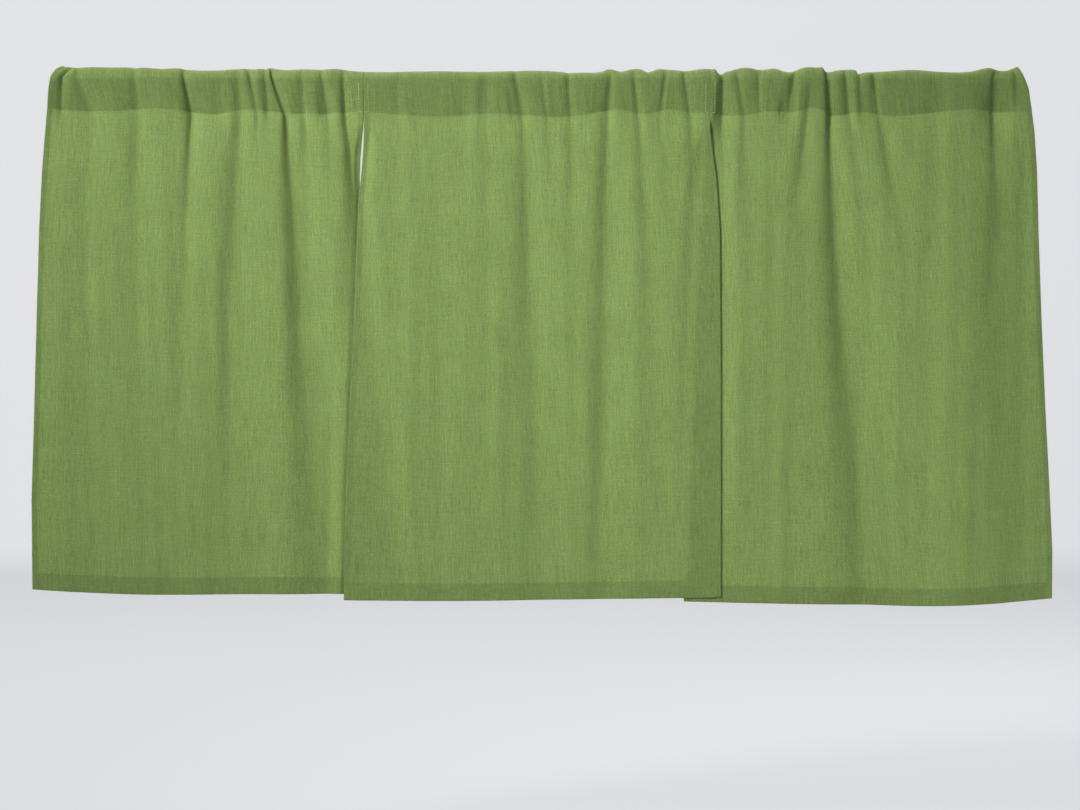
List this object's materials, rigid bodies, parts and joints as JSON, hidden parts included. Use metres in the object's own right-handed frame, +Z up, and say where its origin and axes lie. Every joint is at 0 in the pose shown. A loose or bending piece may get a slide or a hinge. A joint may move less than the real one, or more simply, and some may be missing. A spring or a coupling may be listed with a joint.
{
  "type": "three-panel door curtain",
  "caption": "Short linen door curtain with slit panels, sewn together at a gathered rod-pocket heading and overlapping below it.",
  "frame": {"origin": "middle of the top edge, straight above the axis of the rod pocket", "axes": "+X to the right along the heading as seen from the front, +Y away from the viewer towards the door, +Z up"},
  "size_m": [1.0219, 0.0213, 0.5403],
  "materials": {
    "linen": "matte plain-weave linen, leaf green"
  },
  "bodies": {
    "root": {"left_panel": "linen", "middle_panel": "linen", "right_panel": "linen"}
  },
  "joints": []
}
